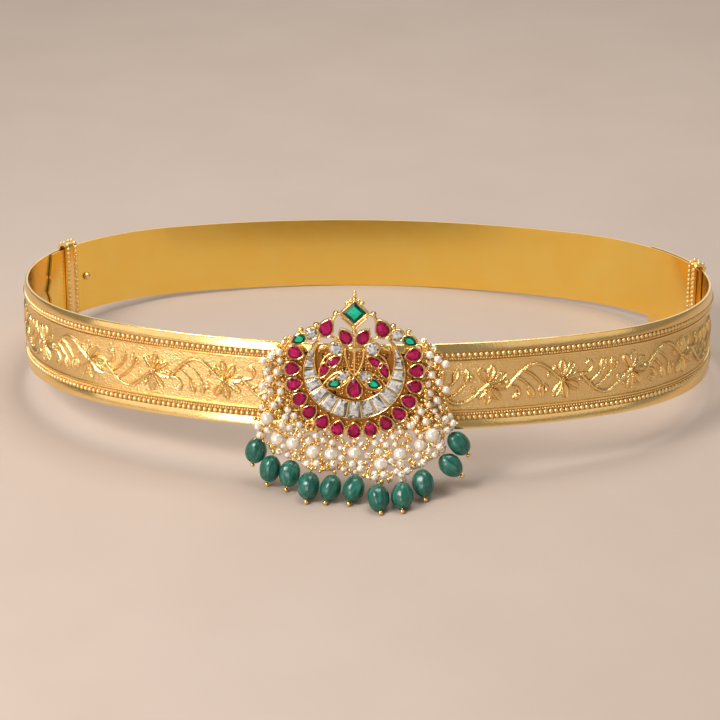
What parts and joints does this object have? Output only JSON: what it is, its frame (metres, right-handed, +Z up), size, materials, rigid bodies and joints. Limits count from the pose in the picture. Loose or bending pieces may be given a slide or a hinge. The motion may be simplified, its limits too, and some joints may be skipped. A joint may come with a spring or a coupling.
{
  "type": "oddiyanam waist belt",
  "caption": "Rigid oval gilt waist belt with vine relief, a stone-set pierced plaque in front, and a short fringe of pearls and emerald beads.",
  "frame": {"origin": "on the floor, under the middle of the whole belt", "axes": "+X to the right seen from the front, +Y to the back, +Z up; the plaque faces -Y"},
  "size_m": [0.2814, 0.2211, 0.074],
  "materials": {
    "gold": "gilt, cast and chased, polished edges with a stippled ground",
    "polished_gold": "gilt, mirror polished with fine wear scratches",
    "gold_wire": "gilt wire, polished",
    "ruby": "faceted deep red stone, foil backed",
    "green_stone": "faceted green stone, foil backed",
    "white_foil_stone": "clear faceted stone over silver foil",
    "emerald_bead": "translucent mottled green bead, polished",
    "pearl": "lustrous nacre, cream with soft pink and silver tones"
  },
  "bodies": {
    "root": {"front_band": "gold", "keeper_left": "gold", "keeper_right": "gold", "stop_knob": "gold", "plaque_setting": "gold", "back_strap": "polished_gold", "ruby_ring": "ruby", "crescent_stones": "white_foil_stone", "top_emerald": "green_stone", "centre_ruby": "ruby", "top_ruby_left": "ruby", "top_ruby_right": "ruby", "low_ruby_left": "ruby", "low_ruby_right": "ruby", "head_white_left": "white_foil_stone", "head_white_right": "white_foil_stone", "side_white_left": "white_foil_stone", "side_white_right": "white_foil_stone", "side_green_left": "green_stone", "side_green_right": "green_stone", "wing_ruby_left": "ruby", "wing_ruby_right": "ruby", "wing_tip_left": "ruby", "wing_tip_right": "ruby", "leaf_white_left": "white_foil_stone", "leaf_white_right": "white_foil_stone", "leaf_green_left": "green_stone", "leaf_green_right": "green_stone", "emerald_bead_1": "emerald_bead", "emerald_bead_2": "emerald_bead", "emerald_bead_3": "emerald_bead", "emerald_bead_4": "emerald_bead", "emerald_bead_5": "emerald_bead", "emerald_bead_6": "emerald_bead", "emerald_bead_7": "emerald_bead", "emerald_bead_8": "emerald_bead", "emerald_bead_9": "emerald_bead", "emerald_bead_10": "emerald_bead", "emerald_bead_11": "emerald_bead", "large_pearl_1": "pearl", "large_pearl_2": "pearl", "large_pearl_3": "pearl", "large_pearl_4": "pearl", "large_pearl_5": "pearl", "large_pearl_6": "pearl", "large_pearl_7": "pearl", "large_pearl_8": "pearl", "large_pearl_9": "pearl", "large_pearl_10": "pearl", "fringe_wires_left": "gold_wire", "fringe_wires_centre": "gold_wire", "fringe_wires_right": "gold_wire", "small_pearls_left": "pearl", "small_pearls_centre": "pearl", "small_pearls_right": "pearl"}
  },
  "joints": []
}
